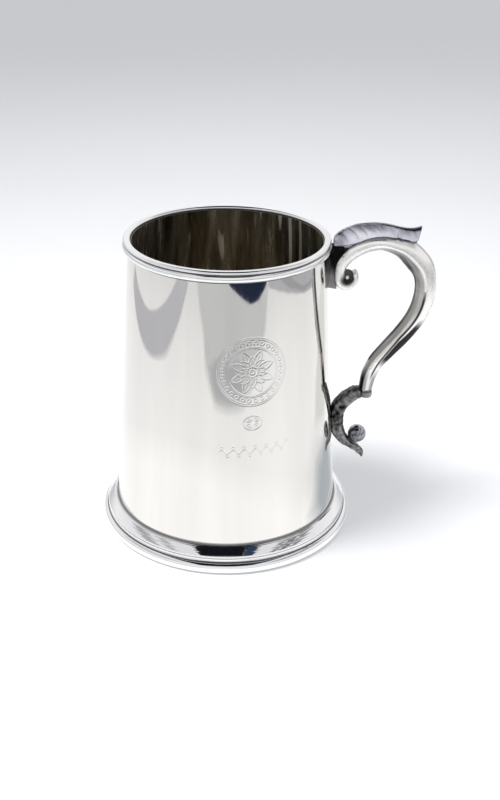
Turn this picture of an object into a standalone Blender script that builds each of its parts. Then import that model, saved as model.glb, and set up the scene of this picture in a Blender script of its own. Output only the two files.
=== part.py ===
"""One-pint pewter tankard with a cast double-scroll handle.

Units are metres, +Z up, and the foot stands on z = 0. The handle points along +X. The origin is the
centre of the whole object's footprint, so the barrel's axis stands at x = AXIS_X.
"""

import math

import bmesh
import bpy
from mathutils import Vector

MM = 0.001

# Driving dimensions
RIM_TOP = 120.5 * MM
MOUTH_RADIUS = 36.9 * MM
RING_RADIUS = 40.1 * MM
RING_BOTTOM = 115.6 * MM
BARREL_TOP = 119.0 * MM
BARREL_BOTTOM = 3.0 * MM
BARREL_WALL = 1.1 * MM
BARREL_FOOT_RADIUS = 45.5 * MM  # outer radius where the barrel leaves the foot
BARREL_TAPER = 0.07  # radius lost for each unit of height
FOOT_TOP = 9.8 * MM
FOOT_STEP_RADIUS = 49.9 * MM
FOOT_RADIUS = 52.0 * MM
BEAD_HEIGHT = 4.4 * MM
BASE_TOP = 5.2 * MM
BASE_THICKNESS = 1.8 * MM
HANDLE_REACH = 81.5 * MM  # from the barrel's axis to the outside of the bow
SEAM = 0.3 * MM  # solder gap between neighbouring pieces

AXIS_X = -(HANDLE_REACH - FOOT_RADIUS) / 2

TURNED_STEPS = 72
SECTION_POINTS = 14

# Upper volute: a ring that the grip curls into
VOLUTE_CENTRE = (46.2 * MM, 104.1 * MM)
VOLUTE_RADIUS = 4.9 * MM

# Grip stations from the volute's back over the arch to the neck: x, z, thickness, width in mm
GRIP_STATIONS = (
    (43.4, 107.0, 4.5, 6.6),
    (44.2, 110.2, 4.9, 6.8),
    (46.9, 113.2, 4.8, 7.2),
    (50.7, 115.8, 4.5, 7.8),
    (55.0, 117.6, 4.3, 8.2),
    (59.4, 118.1, 4.3, 8.6),
    (64.0, 117.5, 4.8, 8.9),
    (68.6, 116.0, 6.6, 9.2),
    (72.6, 112.9, 8.6, 9.4),
    (75.8, 108.3, 8.6, 9.5),
    (77.3, 102.9, 8.0, 9.5),
    (77.4, 97.3, 7.9, 9.4),
    (76.2, 91.6, 7.6, 9.2),
    (73.7, 85.9, 7.2, 8.9),
    (69.4, 79.8, 6.7, 8.4),
    (64.4, 73.8, 6.3, 7.8),
    (60.2, 68.2, 5.9, 7.1),
    (57.7, 62.6, 5.4, 6.5),
    (56.8, 57.3, 5.1, 6.2),
)

# Lower scroll stations from the knuckle round the crook to the pointed tail
SCROLL_STATIONS = (
    (53.3, 54.1, 5.0, 6.2),
    (52.0, 53.6, 5.3, 6.5),
    (49.9, 52.0, 5.6, 6.8),
    (47.6, 49.8, 5.8, 7.0),
    (45.9, 46.7, 5.9, 7.0),
    (45.3, 43.0, 5.8, 7.0),
    (45.6, 39.3, 5.6, 6.8),
    (46.8, 35.6, 4.9, 6.4),
    (48.9, 32.5, 3.9, 5.8),
    (51.6, 30.1, 2.8, 5.0),
    (54.1, 28.5, 2.9, 4.0),
    (56.0, 26.6, 2.7, 3.0),
    (56.8, 24.9, 1.5, 2.0),
    (57.0, 23.8, 0.6, 1.0),
)

KNUCKLE_CENTRE = (56.85 * MM, 54.5 * MM)
KNUCKLE_SIZE = (5.1 * MM, 6.4 * MM, 4.7 * MM)
BALL_CENTRE = (54.4 * MM, 34.9 * MM)
BALL_RADIUS = 3.8 * MM

# Thumb leaf stations: x, crest height, half width in mm
LEAF_STATIONS = (
    (40.7, 120.9, 1.8),
    (42.6, 122.5, 2.8),
    (45.4, 124.2, 3.7),
    (48.8, 125.5, 4.3),
    (52.6, 126.1, 4.7),
    (57.0, 126.3, 4.9),
    (61.4, 125.8, 4.8),
    (65.2, 124.9, 4.5),
    (68.6, 124.3, 4.1),
    (71.6, 124.4, 3.6),
    (74.2, 125.0, 2.6),
)
LEAF_ROOT_BASE = 116.9 * MM

POLISHED = (0.86, 0.86, 0.85)
SATIN = (0.66, 0.64, 0.61)
TARNISHED = (0.36, 0.36, 0.37)


def material(name, colour, roughness):
    """A metallic finish of one colour."""
    made = bpy.data.materials.new(name)
    made.use_nodes = True
    shader = made.node_tree.nodes["Principled BSDF"]
    shader.inputs["Base Color"].default_value = (*colour, 1.0)
    shader.inputs["Roughness"].default_value = roughness
    shader.inputs["Metallic"].default_value = 1.0
    return made


def add_object(name, mesh, finish, parent):
    """Links a mesh under the assembly's empty."""
    piece = bpy.data.objects.new(name, mesh)
    piece.parent = parent
    mesh.materials.append(finish)
    bpy.context.scene.collection.objects.link(piece)
    return piece


def barrel_radius(height):
    """The barrel's outer radius at a height."""
    return BARREL_FOOT_RADIUS - BARREL_TAPER * (height - FOOT_TOP)


def arc(centre, radius, start, end, count):
    """Points on an arc, angles in degrees, from start to end."""
    points = []
    for index in range(count + 1):
        angle = math.radians(start + (end - start) * index / count)
        points.append((centre[0] + radius * math.cos(angle), centre[1] + radius * math.sin(angle)))
    return points


def turned(name, profile, finish, parent, closed=True):
    """Turns a profile of (radius, height) about the barrel's axis; its outer side runs downwards."""
    mesh = bpy.data.meshes.new(name)
    count = len(profile)
    edges = [(index, index + 1) for index in range(count - 1)]
    if closed:
        edges.append((count - 1, 0))
    mesh.from_pydata([(radius, 0.0, height) for radius, height in profile], edges, [])
    piece = add_object(name, mesh, finish, parent)
    screw = piece.modifiers.new("Turn", "SCREW")
    screw.axis = "Z"
    screw.angle = math.radians(360)
    screw.steps = TURNED_STEPS
    screw.render_steps = TURNED_STEPS
    screw.use_merge_vertices = True
    screw.merge_threshold = 0.05 * MM
    screw.use_smooth_shade = True
    return piece


def catmull(a, b, c, d, t):
    """A point on the smooth curve between b and c."""
    return 0.5 * (2 * b + (c - a) * t + (2 * a - 5 * b + 4 * c - d) * t**2 + (3 * b - a - 3 * c + d) * t**3)


def smooth_stations(stations, per_span):
    """Stations in metres, read from a smooth curve through the given ones."""
    rows = [Vector(row) * MM for row in stations]
    rows = [2 * rows[0] - rows[1]] + rows + [2 * rows[-1] - rows[-2]]
    result = []
    for index in range(1, len(rows) - 2):
        for step in range(per_span):
            result.append(catmull(*rows[index - 1 : index + 3], step / per_span))
    result.append(rows[-2])
    return result


def outward_normals(stations):
    """For each station, the in-plane unit vector to the left of its direction of travel."""
    normals = []
    last = len(stations) - 1
    for index in range(last + 1):
        before = stations[max(index - 1, 0)]
        after = stations[min(index + 1, last)]
        along = Vector((after[0] - before[0], after[1] - before[1])).normalized()
        normals.append(Vector((-along.y, along.x)))
    return normals


def loft(name, rings, finish, parent):
    """Closes a row of equal rings of points into one body with flat end caps."""
    shape = bmesh.new()
    loops = [[shape.verts.new(point) for point in ring] for ring in rings]
    count = len(loops[0])
    for first, second in zip(loops, loops[1:]):
        for index in range(count):
            after = (index + 1) % count
            shape.faces.new((first[index], first[after], second[after], second[index]))
    shape.faces.new(reversed(loops[0]))
    shape.faces.new(loops[-1])
    bmesh.ops.recalc_face_normals(shape, faces=shape.faces)
    mesh = bpy.data.meshes.new(name)
    shape.to_mesh(mesh)
    shape.free()
    mesh.shade_smooth()
    mesh.set_sharp_from_angle(angle=math.radians(40))
    return add_object(name, mesh, finish, parent)


def swept(name, stations, finish, parent):
    """Sweeps a soft-cornered section along stations of x, z, thickness and width."""
    rings = []
    for (x, z, thickness, width), normal in zip(stations, outward_normals(stations)):
        ring = []
        for index in range(SECTION_POINTS):
            angle = 2 * math.pi * index / SECTION_POINTS
            across = math.copysign(abs(math.cos(angle)) ** 0.85, math.cos(angle)) * thickness / 2
            aside = math.copysign(abs(math.sin(angle)) ** 0.85, math.sin(angle)) * width / 2
            ring.append((x + normal.x * across, aside, z + normal.y * across))
        rings.append(ring)
    return loft(name, rings, finish, parent)


def volute_stations():
    """The curl at the grip's upper end, from its free tip round to the volute's back."""
    rows = []
    for degrees in range(405, 179, -15):
        share = (degrees - 180) / 225
        thickness = (4.2 - 3.0 * share + 1.1 * share**2) * MM
        angle = math.radians(degrees)
        reach = VOLUTE_RADIUS - thickness / 2
        x = VOLUTE_CENTRE[0] + reach * math.cos(angle)
        z = VOLUTE_CENTRE[1] + reach * math.sin(angle)
        rows.append(Vector((x, z, thickness, (6.6 - 1.0 * share) * MM)))
    return rows


def outline_height(stations, x):
    """Height of the grip's upper edge at x, between the volute and the bow."""
    edge = []
    for (px, pz, thickness, _), normal in zip(stations, outward_normals(stations)):
        edge.append((px + normal.x * thickness / 2, pz + normal.y * thickness / 2))
    height = 0.0
    for (x0, z0), (x1, z1) in zip(edge, edge[1:]):
        if x0 <= x <= x1:
            height = max(height, z0 + (z1 - z0) * (x - x0) / (x1 - x0))
    return height


def make_barrel(finish, parent):
    """The tapered tube, open at both ends."""
    top = barrel_radius(BARREL_TOP)
    bottom = barrel_radius(BARREL_BOTTOM)
    profile = (
        (top - BARREL_WALL, BARREL_TOP),
        (top, BARREL_TOP),
        (bottom, BARREL_BOTTOM),
        (bottom - BARREL_WALL, BARREL_BOTTOM),
    )
    return turned("body_barrel", profile, finish, parent)


def make_mouth_ring(finish, parent):
    """The moulded ring that caps the barrel: crowned lip, groove and rounded band."""
    rabbet = BARREL_TOP + SEAM
    profile = [
        (MOUTH_RADIUS, RIM_TOP - 0.95 * MM),
        (MOUTH_RADIUS + 0.5 * MM, RIM_TOP - 0.4 * MM),
        (MOUTH_RADIUS + 1.6 * MM, RIM_TOP - 0.05 * MM),
        (MOUTH_RADIUS + 2.3 * MM, RIM_TOP),
        (RING_RADIUS - 0.4 * MM, RIM_TOP - 0.45 * MM),
        (RING_RADIUS - 0.5 * MM, RIM_TOP - 1.0 * MM),
    ]
    profile += arc((RING_RADIUS - 1.5 * MM, 117.7 * MM), 1.5 * MM, 55, -65, 6)
    profile += [
        (barrel_radius(RING_BOTTOM) + SEAM, RING_BOTTOM),
        (barrel_radius(rabbet) + SEAM, rabbet),
        (MOUTH_RADIUS - 0.15 * MM, rabbet),
    ]
    return turned("mouth_ring", profile, finish, parent)


def make_base_disc(finish, parent):
    """The bottom, let into the barrel."""
    bottom = BASE_TOP - BASE_THICKNESS
    top_radius = barrel_radius(BASE_TOP) - BARREL_WALL - SEAM
    profile = (
        (0.0, BASE_TOP),
        (top_radius, BASE_TOP),
        (top_radius, bottom),
        (0.0, bottom),
    )
    return turned("base_disc", profile, finish, parent, closed=False)


def make_foot_moulding(finish, parent):
    """The stepped ring round the barrel's lower end: a small shoulder and a rounded step."""
    bottom = BEAD_HEIGHT + SEAM
    inner_top = barrel_radius(FOOT_TOP) + SEAM
    profile = [
        (inner_top, FOOT_TOP),
        (inner_top + 0.3 * MM, FOOT_TOP),
        (inner_top + 0.7 * MM, FOOT_TOP - 0.45 * MM),
        (FOOT_STEP_RADIUS - 2.2 * MM, FOOT_TOP - 0.75 * MM),
        (FOOT_STEP_RADIUS - 1.0 * MM, FOOT_TOP - 1.65 * MM),
        (FOOT_STEP_RADIUS - 0.25 * MM, FOOT_TOP - 2.7 * MM),
        (FOOT_STEP_RADIUS, FOOT_TOP - 3.7 * MM),
        (FOOT_STEP_RADIUS - 0.1 * MM, bottom),
        (barrel_radius(bottom) + SEAM, bottom),
    ]
    return turned("foot_moulding", profile, finish, parent)


def make_foot_bead(finish, parent):
    """The D-section wire that the tankard stands on."""
    radius = BEAD_HEIGHT / 2
    centre = (FOOT_RADIUS - radius, radius)
    inside = FOOT_RADIUS - 4.6 * MM
    profile = [(inside, BEAD_HEIGHT)] + arc(centre, radius, 90, -90, 10) + [(inside, 0.0)]
    return turned("foot_bead", profile, finish, parent)


def make_grip(stations, finish, parent):
    """The upper scroll: volute, arch, bow and neck in one casting."""
    return swept("handle_grip", stations, finish, parent)


def make_thumb_leaf(stations, finish, parent):
    """The leaf on the arch: a keel that follows the grip, overhanging edges and a raised crest."""
    rings = []
    for x, crest, half in smooth_stations(LEAF_STATIONS, 2):
        base = max(outline_height(stations, x), LEAF_ROOT_BASE) + SEAM
        rise = crest - base
        half_section = (
            (0.55, 0.02),
            (0.62, 0.2),
            (0.98, 0.34),
            (1.0, 0.44),
            (0.74, 0.7),
            (0.32, 0.93),
        )
        ring = [(x, 0.0, base)]
        ring += [(x, half * aside, base + rise * up) for aside, up in half_section]
        ring += [(x, 0.0, crest)]
        ring += [(x, -half * aside, base + rise * up) for aside, up in reversed(half_section)]
        rings.append(ring)
    return loft("thumb_leaf", rings, finish, parent)


def make_bridge(finish, parent):
    """The web between the barrel and the volute's back."""
    half_width = 2.6 * MM
    outline = [
        (barrel_radius(100.9 * MM) + SEAM, 100.9 * MM),
        (42.2 * MM, 100.4 * MM),
        (41.25 * MM, 102.3 * MM),
        (40.9 * MM, 104.1 * MM),
        (40.8 * MM, 107.0 * MM),
        (41.3 * MM, 110.6 * MM),
        (42.5 * MM, 113.3 * MM),
        (44.2 * MM, 115.2 * MM),
        (44.2 * MM, LEAF_ROOT_BASE),
        (RING_RADIUS + SEAM, LEAF_ROOT_BASE),
        (RING_RADIUS + SEAM, RING_BOTTOM - SEAM),
        (barrel_radius(RING_BOTTOM) + SEAM, RING_BOTTOM - SEAM),
    ]
    rings = [[(x, side * half_width, z) for x, z in outline] for side in (-1, 1)]
    return loft("handle_bridge", rings, finish, parent)


def make_knuckle(finish, parent):
    """The block between the grip's neck and the lower scroll, with softened edges."""
    shape = bmesh.new()
    bmesh.ops.create_cube(shape, size=1.0)
    bmesh.ops.scale(shape, vec=KNUCKLE_SIZE, verts=shape.verts)
    bmesh.ops.translate(shape, vec=(KNUCKLE_CENTRE[0], 0.0, KNUCKLE_CENTRE[1]), verts=shape.verts)
    bmesh.ops.bevel(shape, geom=shape.edges[:], offset=0.9 * MM, segments=3, profile=0.5, affect="EDGES")
    mesh = bpy.data.meshes.new("scroll_knuckle")
    shape.to_mesh(mesh)
    shape.free()
    mesh.shade_smooth()
    return add_object("scroll_knuckle", mesh, finish, parent)


def make_lower_scroll(finish, parent):
    """The C scroll, saddled to the barrel by a cutter of the barrel's own taper."""
    scroll = swept("lower_scroll", smooth_stations(SCROLL_STATIONS, 2), finish, parent)
    low, high = 20 * MM, 65 * MM
    shape = bmesh.new()
    bmesh.ops.create_cone(
        shape,
        cap_ends=True,
        segments=TURNED_STEPS,
        radius1=barrel_radius(low) + SEAM,
        radius2=barrel_radius(high) + SEAM,
        depth=high - low,
    )
    bmesh.ops.translate(shape, vec=(0.0, 0.0, (low + high) / 2), verts=shape.verts)
    mesh = bpy.data.meshes.new("saddle_cutter")
    shape.to_mesh(mesh)
    shape.free()
    cutter = add_object("saddle_cutter", mesh, finish, parent)
    cutter.hide_render = True
    cutter.display_type = "WIRE"
    cut = scroll.modifiers.new("Saddle", "BOOLEAN")
    cut.operation = "DIFFERENCE"
    cut.solver = "EXACT"
    cut.object = cutter
    return scroll


def make_ball(finish, parent):
    """The polished ball in the end of the crook."""
    shape = bmesh.new()
    bmesh.ops.create_uvsphere(shape, u_segments=20, v_segments=12, radius=BALL_RADIUS)
    bmesh.ops.translate(shape, vec=(BALL_CENTRE[0], 0.0, BALL_CENTRE[1]), verts=shape.verts)
    mesh = bpy.data.meshes.new("scroll_ball")
    shape.to_mesh(mesh)
    shape.free()
    mesh.shade_smooth()
    return add_object("scroll_ball", mesh, finish, parent)


def main():
    for leftover in list(bpy.data.objects):
        bpy.data.objects.remove(leftover)

    assembly = bpy.data.objects.new("tankard_axis", None)
    assembly.location = (AXIS_X, 0.0, 0.0)
    bpy.context.scene.collection.objects.link(assembly)

    grip_stations = volute_stations() + smooth_stations(GRIP_STATIONS, 2)

    make_barrel(material("barrel_polish", POLISHED, 0.06), assembly)
    make_mouth_ring(material("ring_polish", POLISHED, 0.08), assembly)
    make_base_disc(material("base_polish", POLISHED, 0.15), assembly)
    make_foot_moulding(material("foot_polish", POLISHED, 0.08), assembly)
    make_foot_bead(material("bead_polish", POLISHED, 0.08), assembly)
    make_grip(grip_stations, material("grip_satin", SATIN, 0.25), assembly)
    make_thumb_leaf(grip_stations, material("leaf_satin", SATIN, 0.28), assembly)
    make_bridge(material("bridge_tarnish", TARNISHED, 0.35), assembly)
    make_knuckle(material("knuckle_tarnish", TARNISHED, 0.35), assembly)
    make_lower_scroll(material("scroll_tarnish", TARNISHED, 0.38), assembly)
    make_ball(material("ball_polish", SATIN, 0.15), assembly)


main()
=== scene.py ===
"""Looks of the one-pint pewter tankard: turned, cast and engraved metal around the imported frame.

Lengths are millimetres in the tables and metres once scaled by MM. Profiles and routes are measured from
the barrel's axis (first number) and from the table (second number), in the plane of the handle.
"""

import math

import bmesh
import bpy
import numpy as np
from mathutils import Matrix, Vector, noise


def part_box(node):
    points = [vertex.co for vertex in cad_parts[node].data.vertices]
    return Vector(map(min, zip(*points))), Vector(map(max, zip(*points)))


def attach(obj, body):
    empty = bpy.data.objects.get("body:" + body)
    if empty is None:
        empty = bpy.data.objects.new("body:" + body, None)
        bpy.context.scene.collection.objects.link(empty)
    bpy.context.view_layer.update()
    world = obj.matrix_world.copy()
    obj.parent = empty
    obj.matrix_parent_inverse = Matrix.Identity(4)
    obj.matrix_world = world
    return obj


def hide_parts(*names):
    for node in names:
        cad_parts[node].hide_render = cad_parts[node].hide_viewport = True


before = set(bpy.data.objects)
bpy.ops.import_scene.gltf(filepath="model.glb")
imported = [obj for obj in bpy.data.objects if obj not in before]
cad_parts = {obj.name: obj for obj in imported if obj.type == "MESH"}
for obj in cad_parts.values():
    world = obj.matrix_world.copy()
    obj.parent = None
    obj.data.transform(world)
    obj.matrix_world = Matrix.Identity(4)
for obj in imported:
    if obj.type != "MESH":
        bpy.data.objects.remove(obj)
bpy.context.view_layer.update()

MM = 0.001

# Driving sizes, read from the frame
ring_low, ring_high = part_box("mouth_ring")
step_low, step_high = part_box("foot_moulding")
bead_low, bead_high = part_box("foot_bead")
barrel_low, barrel_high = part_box("body_barrel")
base_low, base_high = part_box("base_disc")
ball_low, ball_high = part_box("scroll_ball")
knuckle_low, knuckle_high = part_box("scroll_knuckle")

AXIS_X = (ring_low.x + ring_high.x) / 2
RIM_TOP = ring_high.z / MM
RING_BOTTOM = ring_low.z / MM
RING_RADIUS = (ring_high.x - ring_low.x) / 2 / MM
BARREL_TOP = barrel_high.z / MM
BARREL_BOTTOM = barrel_low.z / MM
BARREL_BOTTOM_RADIUS = (barrel_high.x - barrel_low.x) / 2 / MM
FOOT_TOP = step_high.z / MM
STEP_RADIUS = (step_high.x - step_low.x) / 2 / MM
FOOT_RADIUS = (bead_high.x - bead_low.x) / 2 / MM
BEAD_HEIGHT = bead_high.z / MM
BASE_TOP = base_high.z / MM
BASE_BOTTOM = base_low.z / MM
BALL_CENTRE = (
    ((ball_low.x + ball_high.x) / 2 - AXIS_X) / MM,
    (ball_low.z + ball_high.z) / 2 / MM,
)
BALL_RADIUS = (ball_high.z - ball_low.z) / 2 / MM
KNUCKLE_CENTRE = (
    ((knuckle_low.x + knuckle_high.x) / 2 - AXIS_X) / MM,
    (knuckle_low.z + knuckle_high.z) / 2 / MM,
)
KNUCKLE_HALF = (knuckle_high - knuckle_low) / 2 / MM

TAPER = 0.07  # radius lost for each unit of height
WALL = 1.1
TURNS = 384  # steps round a turned piece
TOOL_MARK_DEPTH = 0.009


def barrel_radius(height):
    """The barrel's outer radius at a height."""
    return BARREL_BOTTOM_RADIUS - TAPER * (height - BARREL_BOTTOM)


# ---------------------------------------------------------------- mesh helpers


def mesh_from(name, points, faces):
    """A mesh in metres from points in millimetres about the barrel's axis, its faces turned outwards."""
    mesh = bpy.data.meshes.new(name)
    scaled = np.asarray(points, float) * MM + (AXIS_X, 0.0, 0.0)
    mesh.from_pydata(scaled.tolist(), [], faces)
    shape = bmesh.new()
    shape.from_mesh(mesh)
    bmesh.ops.recalc_face_normals(shape, faces=shape.faces)
    shape.to_mesh(mesh)
    shape.free()
    return mesh


def vertex_value(mesh, name, values):
    """Stores one number for each vertex, for the materials to read."""
    attribute = mesh.attributes.new(name, "FLOAT", "POINT")
    attribute.data.foreach_set("value", np.asarray(values, np.float32))


def place(name, mesh, finish, nodes, sharp_degrees=34):
    """Links a finished mesh as a piece that stands for CAD nodes."""
    piece = bpy.data.objects.new(name, mesh)
    bpy.context.scene.collection.objects.link(piece)
    mesh.materials.append(finish)
    mesh.shade_smooth()
    mesh.set_sharp_from_angle(angle=math.radians(sharp_degrees))
    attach(piece, "root")
    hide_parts(*nodes)
    return piece


def arc(centre, radii, start, end, steps):
    """Points on an arc of one or two radii, angles in degrees."""
    across, up = radii if isinstance(radii, tuple) else (radii, radii)
    turn = np.radians(np.linspace(start, end, steps + 1))
    return list(zip(centre[0] + across * np.cos(turn), centre[1] + up * np.sin(turn)))


def ring_faces(rows, columns):
    """Quads of a grid that closes on itself both ways."""
    faces = []
    for row in range(rows):
        here = row * columns
        below = (row + 1) % rows * columns
        for column in range(columns):
            after = (column + 1) % columns
            faces.append((here + column, here + after, below + after, below + column))
    return faces


def turned(name, profile, turns=TURNS):
    """Turns a closed profile of (radius, height) about the axis."""
    profile = np.asarray(profile, float)
    angle = np.linspace(0, 2 * math.pi, turns, endpoint=False)
    points = np.stack(
        [
            profile[:, :1] * np.cos(angle),
            profile[:, :1] * np.sin(angle),
            np.repeat(profile[:, 1:], turns, axis=1),
        ],
        axis=-1,
    ).reshape(-1, 3)
    return mesh_from(name, points, ring_faces(len(profile), turns))


def turned_marks(mesh, marks, turns=TURNS):
    """Stores the tarnish and painted shade of each circle of a turned piece, in its profile's order."""
    vertex_value(mesh, "tarnish_and_shade_mask", np.repeat(marks, turns))


def bowed(start, end, bulge, steps):
    """Points on a nearly straight run that swells by a little in its middle."""
    start, end = np.asarray(start), np.asarray(end)
    along = end - start
    normal = np.array([-along[1], along[0]]) / np.linalg.norm(along)
    shares = np.linspace(0, 1, steps + 1)
    return [tuple(start + along * t + normal * bulge * 4 * t * (1 - t)) for t in shares]


def catmull(rows, per_span):
    """Rows read from a smooth curve through the given ones."""
    rows = np.asarray(rows, float)
    padded = np.vstack([2 * rows[0] - rows[1], rows, 2 * rows[-1] - rows[-2]])
    made = []
    for a, b, c, d in zip(padded, padded[1:], padded[2:], padded[3:]):
        for t in np.arange(per_span) / per_span:
            squared = (2 * a - 5 * b + 4 * c - d) * t**2
            cubed = (3 * b - a - 3 * c + d) * t**3
            made.append(0.5 * (2 * b + (c - a) * t + squared + cubed))
    made.append(rows[-1])
    return np.array(made)


def left_normals(rows):
    """For each row, the in-plane unit vector to the left of its direction of travel."""
    along = np.gradient(rows[:, :2], axis=0)
    along /= np.linalg.norm(along, axis=1)[:, None]
    return np.stack([-along[:, 1], along[:, 0]], axis=1)


def loft(name, rings):
    """Joins a row of equal rings of points into one closed body with fan caps."""
    rows, columns = len(rings), len(rings[0])
    points = np.vstack([np.vstack(rings), np.mean(rings[0], axis=0), np.mean(rings[-1], axis=0)])
    faces = ring_faces(rows, columns)[: (rows - 1) * columns]
    first, last = rows * columns, rows * columns + 1
    for column in range(columns):
        after = (column + 1) % columns
        faces.append((first, after, column))
        faces.append((last, (rows - 1) * columns + column, (rows - 1) * columns + after))
    return mesh_from(name, points, faces)


def bell(value, centre, width):
    """1 at the centre, falling away smoothly on both sides."""
    return math.exp(-(((value - centre) / width) ** 2))


def lumpy(point, size, depth):
    """A smooth irregularity of a casting, in millimetres."""
    return depth * noise.noise(Vector(point) / size)


# ---------------------------------------------------------------- materials


class Nodes:
    """Small helper that adds and links shader nodes."""

    def __init__(self, tree):
        self.tree = tree

    def add(self, kind, inputs=None, **settings):
        node = self.tree.nodes.new(kind)
        for key, value in settings.items():
            setattr(node, key, value)
        for key, value in (inputs or {}).items():
            if isinstance(value, bpy.types.NodeSocket):
                self.tree.links.new(value, node.inputs[key])
            else:
                node.inputs[key].default_value = value
        return node


def noise_value(nodes, where, scale, detail=3.0, roughness=0.5):
    """A noise from 0 to 1 at the given coordinates."""
    settings = {"Vector": where, "Scale": scale, "Detail": detail, "Roughness": roughness}
    return nodes.add("ShaderNodeTexNoise", settings).outputs["Fac"]


def spread(nodes, value, low, high, to_low, to_high):
    """Maps one range onto another and stops at its ends."""
    made = nodes.add(
        "ShaderNodeMapRange",
        {"Value": value, "From Min": low, "From Max": high, "To Min": to_low, "To Max": to_high},
    )
    return made.outputs["Result"]


def math_value(nodes, operation, first, second=0.0, clamp=False):
    made = nodes.add("ShaderNodeMath", {0: first, 1: second}, operation=operation, use_clamp=clamp)
    return made.outputs[0]


def mixed(nodes, factor, first, second):
    """A colour between two others; each is a socket or three numbers."""
    made = nodes.add("ShaderNodeMix", {"Factor": factor}, data_type="RGBA")
    for socket, value in ((made.inputs[6], first), (made.inputs[7], second)):
        if isinstance(value, bpy.types.NodeSocket):
            nodes.tree.links.new(value, socket)
        else:
            socket.default_value = (*value, 1.0)
    return made.outputs[2]


def drinking_side(nodes, runs, inside):
    """The stain, roughness and streaks of a used inside, with a few bright scuffs that are also painted
    glints.
    """
    streaks = noise_value(nodes, runs, 260.0, 3.0, 0.6)
    stain = mixed(nodes, spread(nodes, streaks, 0.36, 0.66, 0.0, 1.0), inside["dark"], inside["light"])
    scuffs_and_glints = spread(nodes, noise_value(nodes, runs, 420.0, 0.0, 0.4), 0.68, 0.74, 0.0, 1.0)
    # Painted glints: thin streaks lightened toward near white, on top of the rougher scuffs.
    stain = mixed(nodes, scuffs_and_glints, stain, (1.0, 0.97, 0.88))
    polish = spread(nodes, streaks, 0.3, 0.7, *inside["gloss"])
    rough = math_value(nodes, "ADD", polish, math_value(nodes, "MULTIPLY", scuffs_and_glints, 0.24))
    return stain, rough, streaks


def metal(
    name, light, dark, shade_and_tarnish, gloss, cloud, grain,
    bump=0.0, recess_rough=0.35, stretch=(1, 1, 1), inside=None,
):
    """Pewter: a colour that clouds between two tones, with tarnish and painted shade where each piece marks
    them, uneven gloss and a grain.

    gloss is the lowest and highest roughness; cloud and grain are noise scales per metre; bump is the
    grain's height in metres; stretch scales the coordinates, so that the noise runs in streaks. inside is
    the streaked finish of a drinking side: its dark and light tones, its roughness range and its relief.
    """
    made = bpy.data.materials.new(name)
    made.use_nodes = True
    nodes = Nodes(made.node_tree)
    shader = made.node_tree.nodes["Principled BSDF"]
    shader.inputs["Metallic"].default_value = 1.0
    where = nodes.add("ShaderNodeTexCoord").outputs["Object"]
    runs = nodes.add("ShaderNodeMapping", {"Vector": where, "Scale": stretch}).outputs["Vector"]
    tarnish_and_shade_mask = nodes.add("ShaderNodeAttribute", attribute_name="tarnish_and_shade_mask").outputs["Fac"]
    clouds = noise_value(nodes, runs, cloud, 4.0, 0.55)
    tone = mixed(nodes, spread(nodes, clouds, 0.35, 0.65, 0.0, 1.0), dark, light)
    # The marks mix in real tarnish in engraved and chased lines and painted shade in creases, grooves,
    # undersides and hollows.
    colour = mixed(nodes, tarnish_and_shade_mask, tone, shade_and_tarnish)
    fine = noise_value(nodes, runs, grain, 5.0, 0.6)
    polish = spread(nodes, fine, 0.3, 0.7, gloss[0], gloss[1])
    dull = math_value(nodes, "MULTIPLY", tarnish_and_shade_mask, recess_rough)
    rough = math_value(nodes, "ADD", polish, dull, clamp=True)
    height, depth = fine, bump
    if inside:
        within = nodes.add("ShaderNodeAttribute", attribute_name="inside").outputs["Fac"]
        stain, used, streaks = drinking_side(nodes, runs, inside)
        colour = mixed(nodes, within, colour, stain)
        rough = nodes.add("ShaderNodeMix", {"Factor": within, "A": rough, "B": used}).outputs[0]
        height = math_value(nodes, "MULTIPLY", within, streaks)
        depth = inside["relief"]
    made.node_tree.links.new(colour, shader.inputs["Base Color"])
    made.node_tree.links.new(rough, shader.inputs["Roughness"])
    if depth:
        relief = nodes.add("ShaderNodeBump", {"Height": height, "Strength": 1.0, "Distance": depth})
        made.node_tree.links.new(relief.outputs["Normal"], shader.inputs["Normal"])
    return made


# ---------------------------------------------------------------- barrel with its engraving

BADGE_ANGLE = math.radians(-76.5)
BADGE_HEIGHT = 81.7
BADGE_RADIUS = 13.4
KNOT_HEIGHT = 61.5
FLOURISH_HEIGHT = 50.0
CUT_DEPTH = 0.07
CUT_HALF_WIDTH = 0.2
CUT_TARNISH = 0.55
ENGRAVED_HALF_WIDTH = 18.0
ENGRAVED_LOW, ENGRAVED_HIGH = 45.5, 97.5
ENGRAVED_STEP = 0.2
COARSE_STEPS = 116  # round the rest of the barrel


def to_circle(across, up, radius, centre=(0.0, 0.0)):
    """Distance to a circle's line."""
    return np.abs(np.hypot(across - centre[0], up - centre[1]) - radius)


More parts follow.
